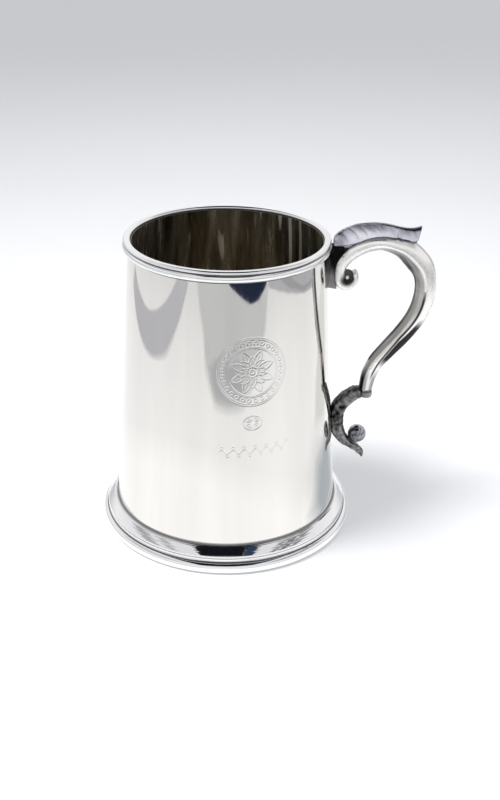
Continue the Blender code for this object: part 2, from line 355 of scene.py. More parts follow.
def badge_distance(across, up):
    """Distance to the nearest line of a plain badge: rings, beads and an eight-petalled flower."""
    reach = np.hypot(across, up)
    turn = np.arctan2(up, across)
    lines = [np.abs(reach - share * BADGE_RADIUS) for share in (1.0, 0.95, 0.74, 0.70)]
    beads = 28
    bead_turn = np.mod(turn, 2 * math.pi / beads) - math.pi / beads
    bead_reach = 0.845 * BADGE_RADIUS
    lines.append(np.abs(np.hypot(reach * np.cos(bead_turn) - bead_reach, reach * np.sin(bead_turn)) - 0.7))
    for petals, inner, outer, turned_by in ((8, 2.0, 8.6, 0.0), (8, 2.0, 6.2, math.pi / 8)):
        leaf_turn = np.mod(turn + turned_by, 2 * math.pi / petals) - math.pi / petals
        along = reach * np.cos(leaf_turn)
        aside = np.abs(reach * np.sin(leaf_turn))
        share = np.clip((along - inner) / (outer - inner), 0.0, 1.0)
        swell = 1.35 * np.sin(math.pi * share) ** 0.8
        edge = np.hypot(np.abs(aside - swell), np.maximum(along - outer, 0) + np.maximum(inner - along, 0))
        vein = np.hypot(aside, np.maximum(along - 0.8 * outer, 0) + np.maximum(inner - along, 0))
        lines += [edge, vein + 0.06]
    lines += [np.abs(reach - 1.9), np.abs(reach - 0.9)]
    return np.minimum.reduce(lines)


def knot_distance(across, up):
    """Distance to a small oval that holds four double loops."""
    corners = [(side * 1.5, rise * 1.45) for side in (-1, 1) for rise in (-1, 1)]
    loops = [to_circle(across, up, radius, corner) for radius in (1.05, 0.45) for corner in corners]
    loops.append(to_circle(across * 0.8, up, 2.9))
    return np.minimum.reduce(loops)


def flourish_distance(across, up):
    """Distance to a waving line with small rings on its crests."""
    half_length, wave, rise = 13.0, 4.3, 0.75
    line = rise * np.sin(2 * math.pi * across / wave)
    outside = np.maximum(np.abs(across) - half_length, 0)
    lines = [np.hypot((up - line) * 0.7, outside)]
    for index in range(-6, 7):
        crest = (index / 2 + 0.25) * wave
        lift = rise * (1 if index % 2 == 0 else -1)
        lines.append(to_circle(across, up, 0.55, (crest, lift * 2.1)))
    return np.minimum.reduce(lines)


def engraving_cut(turn, half, height):
    """How deep the engraver cut, from 0 to 1, at each angle of one height."""
    across = np.where(turn > half, 1e3, turn * barrel_radius(height))
    distance = np.minimum.reduce(
        [
            badge_distance(across, height - BADGE_HEIGHT),
            knot_distance(across, height - KNOT_HEIGHT),
            flourish_distance(across, height - FLOURISH_HEIGHT),
        ]
    )
    cut = np.clip(1 - distance / CUT_HALF_WIDTH, 0, 1)
    return cut * cut * (3 - 2 * cut)


def circle_row(reach, angle, height):
    """Points round the axis at one height."""
    return np.stack([reach * np.cos(angle), reach * np.sin(angle), np.full_like(angle, height)], axis=1)


def make_barrel(finish):
    """The tapered tube, with a finer mesh and the cut lines where it is engraved."""
    patch_radius = barrel_radius(BADGE_HEIGHT)
    half = ENGRAVED_HALF_WIDTH / patch_radius
    fine = np.arange(-half, half, ENGRAVED_STEP / patch_radius)
    coarse = np.linspace(half, 2 * math.pi - half, COARSE_STEPS, endpoint=False)
    turn = np.concatenate([fine, coarse])
    angle = BADGE_ANGLE + turn
    below = [BARREL_BOTTOM, 10.0, 20.0, 30.0, 40.0]
    above = [100.0, 105.0, 110.0, 115.0, BARREL_TOP]
    outer_heights = np.concatenate([below, np.arange(ENGRAVED_LOW, ENGRAVED_HIGH, ENGRAVED_STEP), above])
    inner_heights = np.linspace(BARREL_TOP, BARREL_BOTTOM, 14)
    cuts = [engraving_cut(turn, half, height) for height in outer_heights]
    rows = [
        circle_row(barrel_radius(height) - CUT_DEPTH * cut, angle, height)
        for height, cut in zip(outer_heights, cuts)
    ]
    rows += [circle_row(barrel_radius(height) - WALL, angle, height) for height in inner_heights]
    mesh = mesh_from("engraved_barrel", np.vstack(rows), ring_faces(len(rows), len(turn)))
    inner_count = len(inner_heights) * len(turn)
    vertex_value(mesh, "tarnish_and_shade_mask", np.concatenate([*cuts, np.zeros(inner_count)]) * CUT_TARNISH)
    vertex_value(mesh, "inside", [0.0] * (len(outer_heights) * len(turn)) + [1.0] * inner_count)
    place("engraved_barrel", mesh, finish, ["body_barrel"], 50)


# ---------------------------------------------------------------- other turned pieces


def make_mouth_ring(finish):
    """Crowned lip, groove and rounded band."""
    inner = RING_RADIUS - 3.2
    lip = arc((inner + 0.85, RIM_TOP - 0.85), 0.85, 180, 90, 8)
    lip += [(inner + 1.5, RIM_TOP)]
    lip += arc((RING_RADIUS - 1.1, RIM_TOP - 0.7), 0.7, 90, -28, 10)
    groove = arc((RING_RADIUS - 0.62, RIM_TOP - 1.45), 0.42, 120, 215, 6)
    band = arc((RING_RADIUS - 1.5, RIM_TOP - 2.8), 1.5, 56, -62, 14)
    wall = barrel_radius(RING_BOTTOM)
    under = [(wall + 0.02, RING_BOTTOM + 0.35), (wall + 0.02, RING_BOTTOM)]
    seat = BARREL_TOP - 0.3
    hidden = [(wall - 0.2, RING_BOTTOM), (barrel_radius(BARREL_TOP) - 0.2, seat), (inner + 0.1, seat)]
    mesh = turned("moulded_mouth_ring", lip + groove + band + under + hidden)
    # Painted shade: dark in the groove between lip and band, under the band and at the lip's inner edge.
    marks = [0.55, 0.4, 0.2] + [0.05] * (len(lip) - 5) + [0.25, 0.6] + [0.9] * len(groove)
    marks += [0.6, 0.25] + [0.05] * (len(band) - 5) + [0.3, 0.6, 0.85]
    marks += [0.9] * (len(under) + len(hidden))
    turned_marks(mesh, marks)
    place("moulded_mouth_ring", mesh, finish, ["mouth_ring"])


def turning_rings(reach):
    """Height of the fine uneven rings that the lathe tool leaves on a slope."""
    return TOOL_MARK_DEPTH * math.sin(reach * 11.0) * math.sin(reach * 2.3)


def make_foot(finish):
    """The stepped moulding with a hollow at the barrel, and the bead that it stands on."""
    inner = barrel_radius(FOOT_TOP)
    hollow = arc((inner + 1.1, FOOT_TOP + 0.65), 1.1, 180, 262, 12)
    slope = bowed((inner + 1.5, FOOT_TOP - 0.5), (STEP_RADIUS - 0.3, BEAD_HEIGHT + 2.7), 0.05, 30)
    slope = [(reach, up + turning_rings(reach)) for reach, up in slope]
    edge = arc((STEP_RADIUS - 0.75, BEAD_HEIGHT + 2.2), 0.75, 46, 0, 8)
    cove = arc((STEP_RADIUS + 0.55, BEAD_HEIGHT + 1.1), 1.0, 140, 262, 14)
    floor = BEAD_HEIGHT + 0.05
    hidden = [(STEP_RADIUS - 1.6, floor), (inner - 0.3, floor), (inner - 0.3, FOOT_TOP + 1.0)]
    mesh = turned("stepped_foot_moulding", hollow + slope + edge + cove + hidden)
    # Painted shade: dark in the hollow where the foot meets the barrel, and in the quirk down to the bead.
    marks = [0.5, 0.6, 0.7, 0.8, 0.85, 0.85, 0.8, 0.75, 0.7, 0.6, 0.45, 0.3, 0.15]
    marks += [0.04] * (len(slope) + len(edge))
    marks += [0.05] * (len(cove) - 6) + [0.1, 0.2, 0.5, 0.8, 0.9, 0.95] + [0.9] * len(hidden)
    turned_marks(mesh, marks)
    place("stepped_foot_moulding", mesh, finish, ["foot_moulding"])
    radius = BEAD_HEIGHT / 2
    centre = (FOOT_RADIUS - radius, radius)
    inside = FOOT_RADIUS - 4.6
    round_face = arc(centre, radius, 90, -90, 36)
    mesh = turned("foot_bead_wire", [(inside, BEAD_HEIGHT)] + round_face + [(inside, 0.0)])
    height = np.array([point[1] for point in round_face]) / BEAD_HEIGHT
    # Darker at the table: partly grime, partly painted contact shadow. Darker at the seam: partly a dirty
    # seam, partly painted shade under the moulding.
    at_table = np.clip((0.16 - height) / 0.1, 0, 1)
    at_seam = np.clip((height - 0.985) / 0.015, 0, 1)
    turned_marks(mesh, [0.9, *(0.04 + 0.86 * at_table + 0.8 * at_seam), 0.9])
    place("foot_bead_wire", mesh, finish, ["foot_bead"])


def make_base(finish):
    """The let-in bottom: a dished disc with the faint rings left by turning."""
    outer = barrel_radius(BASE_TOP) - WALL - 0.02
    reach = np.linspace(0.02, outer, 90)
    ripple = 0.03 * np.sin(reach * 2 * math.pi / 2.4) * np.clip(reach / 6, 0, 1)
    top = BASE_TOP - 0.35 + 0.35 * (reach / outer) ** 4 + ripple * (1 - (reach / outer) ** 8)
    bottom = np.full(12, BASE_BOTTOM)
    profile = list(zip(reach, top)) + list(zip(np.linspace(outer, 0.02, 12), bottom))
    place("turned_base", turned("turned_base", profile, 192), finish, ["base_disc"])


# ---------------------------------------------------------------- handle

VOLUTE_CENTRE = (46.2, 104.1)
VOLUTE_RADIUS = 4.9
GRIP_POINTS = 60  # round half of the grip's section
SCROLL_POINTS = 30  # round half of the lower scroll's section

# x, z, thickness, width, how far the section is ridged (0 is a plain strap, 1 has the full bevel), and
# where the ridge lies from the section's middle, as a share of its thickness
GRIP_ROUTE = (
    (43.4, 107.0, 4.5, 6.6, 0.0, -0.1),
    (44.2, 110.2, 4.9, 6.8, 0.0, -0.1),
    (46.8, 113.6, 5.4, 7.2, 0.1, -0.1),
    (50.6, 116.3, 5.6, 7.8, 0.2, -0.1),
    (55.0, 118.1, 5.8, 8.2, 0.35, -0.1),
    (59.4, 118.6, 5.9, 8.6, 0.5, -0.08),
    (64.1, 117.6, 6.6, 8.9, 0.65, -0.08),
    (68.6, 115.8, 8.3, 9.2, 0.8, -0.07),
    (72.3, 112.5, 9.2, 9.4, 0.9, -0.06),
    (75.7, 108.2, 9.0, 9.5, 1.0, -0.06),
    (77.3, 102.9, 8.2, 9.5, 1.0, -0.06),
    (77.4, 97.3, 8.1, 9.4, 1.0, -0.06),
    (76.3, 91.6, 8.0, 9.2, 1.0, -0.1),
    (73.8, 85.8, 7.8, 8.9, 1.0, -0.18),
    (69.6, 79.6, 7.5, 8.4, 1.0, -0.2),
    (64.7, 73.6, 7.1, 7.8, 1.0, -0.2),
    (60.4, 68.1, 6.6, 7.1, 0.9, -0.2),
    (57.8, 62.6, 6.0, 6.5, 0.7, -0.18),
    (56.8, 57.3, 5.4, 6.2, 0.5, -0.15),
    (56.8, 56.4, 5.3, 6.1, 0.5, -0.15),
)

# x, z, thickness, width
SCROLL_ROUTE = (
    (54.6, 54.3, 4.6, 5.8),
    (53.3, 54.1, 5.0, 6.2),
    (52.0, 53.6, 5.3, 6.5),
    (49.9, 52.0, 5.6, 6.8),
    (47.6, 49.8, 5.8, 7.0),
    (45.9, 46.7, 5.9, 7.0),
    (45.3, 43.0, 5.8, 7.0),
    (45.6, 39.3, 5.6, 6.8),
    (46.8, 35.6, 4.9, 6.4),
    (48.9, 32.5, 3.9, 5.8),
    (51.6, 30.1, 2.8, 5.0),
    (54.1, 28.5, 2.9, 4.0),
    (56.0, 26.6, 2.7, 3.0),
    (56.8, 24.9, 1.5, 2.0),
    (57.0, 23.8, 0.6, 1.0),
)

# x, crest height, half width, height of the leaf's edge
LEAF_ROUTE = (
    (40.7, 120.9, 1.8, 117.7),
    (42.6, 122.5, 2.6, 118.0),
    (45.4, 124.2, 3.4, 118.6),
    (48.8, 125.5, 3.8, 119.5),
    (52.6, 126.1, 3.9, 120.8),
    (57.0, 126.3, 3.9, 121.6),
    (61.4, 125.8, 3.7, 121.6),
    (65.2, 124.9, 3.4, 120.9),
    (68.6, 124.3, 3.0, 120.3),
    (71.6, 124.4, 2.6, 119.9),
    (74.2, 125.2, 2.1, 120.2),
)
LEAF_ROOT_BASE = 116.9
LEAF_STEPS = 30  # from the leaf's edge to its crest
VEIN_GAP = 3.5
VEIN_SLANT = 1.1


def volute_route():
    """The curl at the grip's upper end, from its free tip round to the volute's back."""
    rows = []
    for degrees in np.arange(405, 179, -5.0):
        share = (degrees - 180) / 225
        thickness = 4.2 - 3.0 * share + 1.1 * share**2
        reach = VOLUTE_RADIUS - thickness / 2
        angle = math.radians(degrees)
        x = VOLUTE_CENTRE[0] + reach * math.cos(angle)
        z = VOLUTE_CENTRE[1] + reach * math.sin(angle)
        rows.append((x, z, thickness, 6.6 - share, 0.0, -0.1))
    return np.array(rows)


def strap_section(thickness, width, count):
    """A soft-cornered strap: half its outline, from the inner middle to the outer middle."""
    turn = np.linspace(math.pi, 0, count)
    across = np.copysign(np.abs(np.cos(turn)) ** 0.7, np.cos(turn)) * thickness / 2
    aside = np.sin(turn) ** 0.7 * width / 2
    return np.stack([across, aside], axis=1)


def ridged_section(thickness, width, ridge_share, count):
    """A bevelled inner side, a narrow flat along the ridge and a crowned outer side: half its outline."""
    ridge = ridge_share * thickness
    half = width / 2
    corners = [
        (-thickness / 2, 0.0),
        (-thickness / 2, 0.26 * half),
        (-0.45 * thickness, 0.42 * half),
        (ridge - 0.5, 0.9 * half),
        (ridge - 0.1, 0.93 * half),
        (ridge + 0.15, half),
        (ridge + 0.35, half),
    ]
    crown = arc((ridge + 0.35, 0.0), (thickness / 2 - ridge - 0.35, half), 90, 0, 14)[1:]
    outline = np.array(corners + crown)
    length = np.concatenate([[0], np.cumsum(np.hypot(*np.diff(outline, axis=0).T))])
    wanted = np.linspace(0, length[-1], count)
    return np.stack([np.interp(wanted, length, outline[:, side]) for side in (0, 1)], axis=1)


def swept_rings(rows, half_count, section):
    """Rings of a section swept along rows of x, z, thickness, width and more."""
    rings = []
    for row, normal in zip(rows, left_normals(rows)):
        half = section(row, half_count)
        across, aside = np.vstack([half, half[-2:0:-1] * (1, -1)]).T
        rings.append(np.stack([row[0] + normal[0] * across, aside, row[1] + normal[1] * across], axis=1))
    return rings


def rounded_ends(rows, steps, first=True, last=True):
    """Draws the first and last rows in, so that the ends are rounded and not sawn off."""
    rows = rows.copy()
    for index in range(steps):
        shrink = math.sqrt(1 - (1 - (index + 0.35) / steps) ** 2)
        if first:
            rows[index, 2:4] *= shrink
        if last:
            rows[-1 - index, 2:4] *= shrink
    return rows


def grip_section(row, count):
    """A section between the plain strap and the ridged one."""
    strap = strap_section(row[2], row[3], count)
    ridged = ridged_section(row[2], row[3], row[5], count)
    return strap * (1 - row[4]) + ridged * row[4]


def between(value, low, high, soft):
    """1 between two limits, falling to 0 over a soft edge on each side."""
    return np.clip((value - low) / soft + 1, 0, 1) * np.clip((high - value) / soft + 1, 0, 1)


def section_tarnish_and_shade(row, share, index, on_run):
    """Dark marks across half a section, mostly painted shade; share is 0 at its inner side and 1 at its outer
    side.
    """
    x, z = row[0], row[1]
    crest = 0.5 + row[5]
    lower = np.clip((104.0 - z) / 8.0, 0, 1) * on_run
    end = np.clip((67.0 - z) / 5.0, 0, 1) * on_run
    bend = np.clip((x - 58.0) / 10.0, 0, 1) * np.clip((z - 98.0) / 8.0, 0, 1)
    uneven_shade = 1 + np.array([0.45 * noise.noise(Vector((index * 0.09, value * 9.0, 3.0))) for value in share])
    # Painted shade on the inner bevel, deeper at the bend and low down, unevenly.
    bevel = between(share, -1.0, crest - 0.1, 0.1) * (0.17 + 0.42 * bend + 0.08 * lower) * uneven_shade

    # Painted shade: a dark line at the inner corner and a darker neck above the knuckle.
    corner = between(share, 0.06, 0.16, 0.08) * (0.16 + 0.1 * lower)
    neck = between(share, -1.0, crest + 0.02, 0.08) * 0.38 * np.clip((65.0 - z) / 4.0, 0, 1)
    line_strength = (0.6 if x > 60 else 0.0) * (1.0 if z < 112 else 0.3)
    inner_edge = np.maximum(corner + neck, between(share, -1.0, 0.01, 0.03) * line_strength)
    # Painted highlight: a lighter streak along the lower run.
    painted_highlight_streak = between(share, 0.2, 0.25, 0.05) * 0.3 * np.clip((90.0 - z) / 6.0, 0, 1)

    # Dark lines along the ridge and down the outer side of the lower run.
    line_place = np.interp(z, (60.0, 66.0, 72.0, 79.0, 88.0, 100.0), (0.6, 0.55, 0.44, 0.335, 0.39, 0.42))
    line_fade = lower * np.clip((z - 60.0) / 4.0, 0, 1)
    ridge_line = between(share, line_place - 0.035, line_place + 0.03, 0.05) * 0.96 * line_fade

    stripe_start = np.interp(z, (70.0, 78.0, 88.0), (0.57, 0.45, 0.62))
    stripe_fade = np.clip((89.0 - z) / 4.0, 0, 1) * np.clip((z - 67.0) / 4.0, 0, 1) * on_run
    outer_stripe = between(share, stripe_start, 0.85, 0.05) * 0.97 * stripe_fade
    # Painted shade: a thin dark outline at the outer silhouette and a darker lower end.
    rim = between(share, 0.97, 1.1, 0.03) * 0.4 + (between(share, 0.72, 1.1, 0.12) * 0.42 + 0.16) * end
    inner = bevel + inner_edge - painted_highlight_streak + 0.16 * end
    return np.maximum.reduce([inner, ridge_line, outer_stripe, rim, np.full(len(share), 0.03)])


def grip_tarnish_and_shade(rows, count):
    """Dark marks, mostly painted shade, for every point of the grip, in the order of its rings."""
    furthest = int(np.argmax(rows[:, 0]))
    marks = []
    for index, row in enumerate(rows):
        share = 0.5 + grip_section(row, count)[:, 0] / row[2]
        half = section_tarnish_and_shade(row, share, index, 1.0 if index > furthest else 0.0)
        marks.append(np.concatenate([half, half[-2:0:-1]]))
    return np.concatenate(marks)


def make_grip(finish, route):
    """The main scroll, from the curl's tip to the knuckle, with the slight unevenness of a casting."""
    rows = rounded_ends(route, 4, last=False)
    rings = swept_rings(rows, GRIP_POINTS, grip_section)
    for ring in rings:
        for point in ring:
            point[1] += lumpy(point, 9.0, 0.12)
            point[2] += lumpy(point + 50.0, 11.0, 0.1)
    mesh = loft("ridged_grip", rings)
    sideways = np.array([((vertex.co.x - AXIS_X) / MM, vertex.co.z / MM) for vertex in mesh.vertices])
    from_eye = np.hypot(*(sideways - VOLUTE_CENTRE).T)
    # Painted shade: darker inside the curl, near its eye.
    in_curl = np.clip((3.2 - from_eye) / 1.2, 0, 1) * 0.85
    shade_and_tarnish = np.concatenate([grip_tarnish_and_shade(rows, GRIP_POINTS), [0.3, 0.3]])
    vertex_value(mesh, "tarnish_and_shade_mask", np.maximum(in_curl, shade_and_tarnish))
    place("ridged_grip", mesh, finish, ["handle_grip"], 60)


def make_volute_eye(finish):
    """The recessed web in the curl with a small boss, the web darkened with painted shade."""
    boss = [(0.02, 0.9)] + arc((0.0, 0.15), (0.95, 0.75), 80, 0, 8)
    web = [(1.1, 0.05), (2.9, 0.0), (2.9, -1.2), (0.02, -1.2)]
    profile = boss + web
    count = 64
    points = []
    for reach, out in profile:
        for step in range(count):
            angle = 2 * math.pi * step / count
            x = VOLUTE_CENTRE[0] + 0.3 + reach * math.cos(angle)
            z = VOLUTE_CENTRE[1] + 0.3 + reach * math.sin(angle)
            points.append((x, -0.9 - out, z))
    mesh = mesh_from("volute_eye", points, ring_faces(len(profile), count))
    # Painted shade on the web; the boss stays light.
    bright = (len(boss) - 1) * count
    vertex_value(mesh, "tarnish_and_shade_mask", [0.2] * bright + [0.9] * (len(points) - bright))
    place("volute_eye", mesh, finish, ["handle_grip"], 50)


def outline_height(route, x):
    """Height of the grip's upper edge at x."""
    normals = left_normals(route)
    edge = route[:, :2] + normals * route[:, 2:3] / 2
    height = 0.0
    for (x0, z0), (x1, z1) in zip(edge, edge[1:]):
        if x0 <= x <= x1:
            height = max(height, z0 + (z1 - z0) * (x - x0) / (x1 - x0))
    return height


def leaf_top(x, half, lift, share):
    """One point of the leaf's upper side: its place aside, its height, how deep it is cut, and its tarnish
    and painted shade.

    share is 0 at the leaf's edge and 1 at its crest.
    """
    turn = share * math.pi / 2
    aside = math.cos(turn) ** 0.9
    up = lift + (1 - lift) * (0.62 * math.sin(turn) ** 1.3 + 0.38 * share)
    along = x - VEIN_SLANT * aside * half
    past_vein = along % VEIN_GAP
    vein = bell(min(past_vein, VEIN_GAP - past_vein), 0.0, 0.42)
    vein *= math.sin(math.pi * aside) ** 0.5 if 0.02 < aside < 1.0 else 0.0
    spine = bell(aside * half, 0.75, 0.22 if x < 58 else 0.42)
    root = bell(x, 43.0, 2.0)
    beads = root * 0.3 * math.sin(x * 5.2) * math.sin(aside * half * 5.2)
    cut = vein * 0.16 + spine * 0.3 + 0.25 * math.sin(math.pi * share) - beads
    lobe = 0.5 + 0.5 * math.cos(2 * math.pi * along / VEIN_GAP)
    widen = 1 + 0.035 * (0.5 - lobe) * math.cos(turn)
    vein_dark = 0.16 + 0.22 * min(1.0, max(0.0, (58.0 - x) / 6.0))
    # Painted shade: the leaf darkens toward its tip.
    tip_painted_shade = 0.3 * min(1.0, max(0.0, (x - 60.0) / 8.0)) * (0.4 + 0.6 * share)
    shade_and_tarnish = vein_dark * vein + spine * (0.9 if x > 58 else 0.4) + root * 0.4 + tip_painted_shade
    return aside * widen, up, cut, min(1.0, shade_and_tarnish)


def leaf_ring(x, crest, half, edge, base):
    """One section of the leaf, and the tarnish and painted shade at each of its points: a stem below and a
    veined top.
    """
    rise = crest - base
    notched = half * (1 - 0.3 * bell(x, 65.3, 0.8))
    lift = min(0.6, max(0.1, (edge - base) / rise))
    under = max(0.02, lift - 0.5 / rise)
    stem = 0.62 * min(1.0, max(0.2, (75.0 - x) / 7.0))
    keel = [(0.0, 0.0), (0.5 * stem, 0.0), (stem, 0.0), (stem + 0.03, 0.5 * under)]
    keel += [(stem + 0.08, 0.9 * under), (0.86, under), (0.97, under + 0.02)]
    outline = [(aside * notched, base + rise * up) for aside, up in keel]
    # Painted shade on the stem under the leaf.
    marks = [0.55] * len(keel)
    for step in range(LEAF_STEPS + 1):
        aside, up, cut, shade_and_tarnish = leaf_top(x, half, lift, step / LEAF_STEPS)
        outline.append((aside * notched, base + rise * up - cut * min(1.0, rise / 3)))
        marks.append(shade_and_tarnish)
    drawn_in = 0.35 * max(0.0, x - 69.0)
    near = [(x - drawn_in * (crest - z) / rise, aside, z) for aside, z in outline]
    far = [(along, -aside, z) for along, aside, z in near[-2:0:-1]]
    return np.array(near + far), marks + marks[-2:0:-1]


def make_leaf(finish, route):
    """The thumb leaf: a crest, slanting veins, lobed edges and a beaded root."""
    rings, marks = [], []
    for x, crest, half, edge in catmull(LEAF_ROUTE, 14):
        base = max(outline_height(route, x), LEAF_ROOT_BASE) + 0.05
        ring, ring_marks = leaf_ring(x, crest, half, edge, base)
        rings.append(ring)
        marks += ring_marks
    for ring in (rings[0], rings[-1]):
        middle = ring.mean(axis=0)
        ring[:, 1:] = middle[1:] + (ring[:, 1:] - middle[1:]) * 0.9
    mesh = loft("veined_thumb_leaf", rings)
    vertex_value(mesh, "tarnish_and_shade_mask", marks + [0.5, 0.5])
    place("veined_thumb_leaf", mesh, finish, ["thumb_leaf"], 60)


def saddled(points, clearance=0.02):
    """Moves points that would lie in the barrel out to its surface."""
    reach = np.hypot(points[:, 0], points[:, 1])
    limit = barrel_radius(points[:, 2]) + clearance
    scale = np.where(reach < limit, limit / np.maximum(reach, 1e-6), 1.0)
    points[:, :2] *= scale[:, None]
    return points


def make_lower_scroll(finish):
    """The C scroll, rough from the mould and saddled to the barrel."""
    rows = rounded_ends(catmull(SCROLL_ROUTE, 14), 3, first=False)
    rings = swept_rings(rows, SCROLL_POINTS, lambda row, count: strap_section(row[2], row[3], count))
    marks = []
    for index, ring in enumerate(rings):
        middle = ring.mean(axis=0)
        share = index / len(rings)
        small = min(1.0, rows[index, 2] / 4)
        for number, point in enumerate(ring):
            outward = (point - middle) / max(np.linalg.norm(point - middle), 1e-6)
            around = 2 * math.pi * number / len(ring)
            flute = 0.22 * math.cos(6 * around) + 0.16 * math.sin(share * 60)
            rough = lumpy(point, 1.6, 0.26) + lumpy(point + 20.0, 0.7, 0.22)
            point += outward * (flute * 0.5 + rough) * small
            # Painted shade: darker on the side toward the barrel and in a band 40 to 49 mm high. The lumps
            # darken hollows and lighten tops, partly oxide, partly painted shade and highlight.
            painted_back_shade = 0.3 * max(0.0, -outward[0]) + (0.25 if 40 < point[2] < 49 else 0.0)
            marks.append(min(1.0, max(0.0, 0.46 + painted_back_shade - 1.25 * (flute * 0.4 + rough))))
    rings = [saddled(ring) for ring in rings]
    mesh = loft("textured_lower_scroll", rings)
    vertex_value(mesh, "tarnish_and_shade_mask", marks + [0.5, 0.5])
    place("textured_lower_scroll", mesh, finish, ["lower_scroll"], 60)


def make_knuckle(finish):
    """A square knuckle with swollen faces and a waist below the grip."""
    rings = []
    steps, sides = 40, 64
    for step in range(steps + 1):
        level = -math.cos(math.pi * step / steps)
        body = max(1 - abs(level) ** 3.4, 0.0) ** 0.42
        waist = 1 - 0.1 * bell(level, 0.45, 0.12)
        ring = []
        for side in range(sides):
            turn = 2 * math.pi * side / sides
            square = (abs(math.cos(turn)) ** 3 + abs(math.sin(turn)) ** 3) ** (-1 / 3)
            x = KNUCKLE_CENTRE[0] + KNUCKLE_HALF.x * body * waist * square * math.cos(turn)
            y = KNUCKLE_HALF.y * body * waist * square * math.sin(turn)
            z = KNUCKLE_CENTRE[1] + KNUCKLE_HALF.z * level
            point = np.array((x, y, z))
            point[:2] += lumpy(point, 1.4, 0.12)
            ring.append(point)
        rings.append(np.array(ring))
    mesh = loft("collared_knuckle", rings)
    groove = KNUCKLE_CENTRE[1] + 1.05
    marks = [0.3 + 0.5 * bell(vertex.co.z / MM, groove, 0.3) for vertex in mesh.vertices]
    vertex_value(mesh, "tarnish_and_shade_mask", marks)
    place("collared_knuckle", mesh, finish, ["scroll_knuckle"], 60)


def make_bridge(finish):
    """The web between the barrel and the curl, with rounded edges."""
    half_width = 2.6
    outline = [
        (barrel_radius(100.6) - 0.4, 100.6),
        (42.6, 99.9),
        (42.0, 102.3),
        (41.6, 104.1),
        (41.4, 107.0),
        (41.9, 110.6),
        (43.1, 113.3),
        (44.8, 115.2),
        (44.8, LEAF_ROOT_BASE + 0.2),
        (RING_RADIUS - 0.3, LEAF_ROOT_BASE + 0.2),
        (RING_RADIUS - 0.6, RING_BOTTOM + 0.1),
        (barrel_radius(RING_BOTTOM) - 0.4, RING_BOTTOM + 0.1),
    ]
    shape = bmesh.new()
    corners = [shape.verts.new((x, -half_width, z)) for x, z in outline]
    face = shape.faces.new(corners)
    made = bmesh.ops.extrude_face_region(shape, geom=[face])
    moved = [item for item in made["geom"] if isinstance(item, bmesh.types.BMVert)]
    bmesh.ops.translate(shape, vec=(0.0, 2 * half_width, 0.0), verts=moved)
    bmesh.ops.bevel(shape, geom=shape.edges[:], offset=0.45, segments=4, profile=0.5, affect="EDGES")
    bmesh.ops.triangulate(shape, faces=[item for item in shape.faces if len(item.verts) > 4])
    bmesh.ops.subdivide_edges(shape, edges=shape.edges[:], cuts=2, use_grid_fill=True)
    for vertex in shape.verts:
        vertex.co.y += lumpy(vertex.co, 1.3, 0.25)
    points = np.array([vertex.co for vertex in shape.verts])
    saddled(points, 0.0)
    shape.verts.index_update()
    faces = [[vertex.index for vertex in item.verts] for item in shape.faces]
    shape.free()
    mesh = mesh_from("cast_bridge", points, faces)
    # Painted shade: the web darkens toward the top, under the ring and leaf.
    darker_above = RING_BOTTOM - 10.5
    marks = np.clip(0.45 + 0.5 * (points[:, 2] - darker_above) / 3.5, 0.45, 1.0)
    vertex_value(mesh, "tarnish_and_shade_mask", marks + [lumpy(point, 1.1, 0.1) for point in points])
    place("cast_bridge", mesh, finish, ["handle_bridge"], 50)


def make_ball(finish):
    """The ball in the crook, slightly out of round, with painted shade on its two sides."""
    rings, marks = [], []
    steps, sides = 72, 96
    for step in range(1, steps):
        polar = math.pi * step / steps
        ring = []
        for side in range(sides):
            turn = 2 * math.pi * side / sides
            level = math.sin(polar)
            direction = np.array((level * math.cos(turn), level * math.sin(turn), math.cos(polar)))
            reach = BALL_RADIUS * (1 - 0.015 * (direction[2] - 0.3) ** 2)
            ring.append(direction * reach + (BALL_CENTRE[0], 0.0, BALL_CENTRE[1]))
            # Painted shade: a dark patch on each side, a little toward the barrel.
            painted_side_shade = bell(math.hypot(direction[0] + 0.3, direction[2] - 0.1), 0.0, 0.55)
            marks.append(min(0.95, 0.15 + 0.8 * painted_side_shade + lumpy(direction * 3.0, 0.8, 0.5)))
        rings.append(np.array(ring))
    mesh = loft("polished_ball", rings)
    vertex_value(mesh, "tarnish_and_shade_mask", marks + [0.0, 0.2])
    place("polished_ball", mesh, finish, ["scroll_ball"], 60)


# ---------------------------------------------------------------- studio


CAMERA_PITCH, CAMERA_YAW, CAMERA_ROLL = math.radians(27.203), math.radians(1.362), math.radians(0.934)
CAMERA_DISTANCE, CAMERA_HEIGHT = 0.405142, 0.258416
CAMERA_LENS = 49.978
FLOOR_HALF_SIZE = 6.0
FLOOR_GLOW = 0.375
FAR_FLOOR_GLOW = 0.76 * FLOOR_GLOW


def make_camera():
    """The camera stands in front and above, nearly square to the badge."""
    level = math.cos(CAMERA_PITCH)
    forward = Vector((math.sin(CAMERA_YAW) * level, math.cos(CAMERA_YAW) * level, -math.sin(CAMERA_PITCH)))
    right = Vector((math.cos(CAMERA_YAW), -math.sin(CAMERA_YAW), 0.0))
    up = right.cross(forward)
    rolled_right = right * math.cos(CAMERA_ROLL) + up * math.sin(CAMERA_ROLL)
    rolled_up = -right * math.sin(CAMERA_ROLL) + up * math.cos(CAMERA_ROLL)
    data = bpy.data.cameras.new("camera")
    data.lens = CAMERA_LENS
    data.sensor_width = 36.0
    data.clip_start, data.clip_end = 0.01, 50.0
    camera = bpy.data.objects.new("camera", data)
    bpy.context.scene.collection.objects.link(camera)
    turn = Matrix((rolled_right, rolled_up, -forward)).transposed().to_4x4()
    camera.matrix_world = Matrix.Translation((AXIS_X, -CAMERA_DISTANCE, CAMERA_HEIGHT)) @ turn
    bpy.context.scene.camera = camera


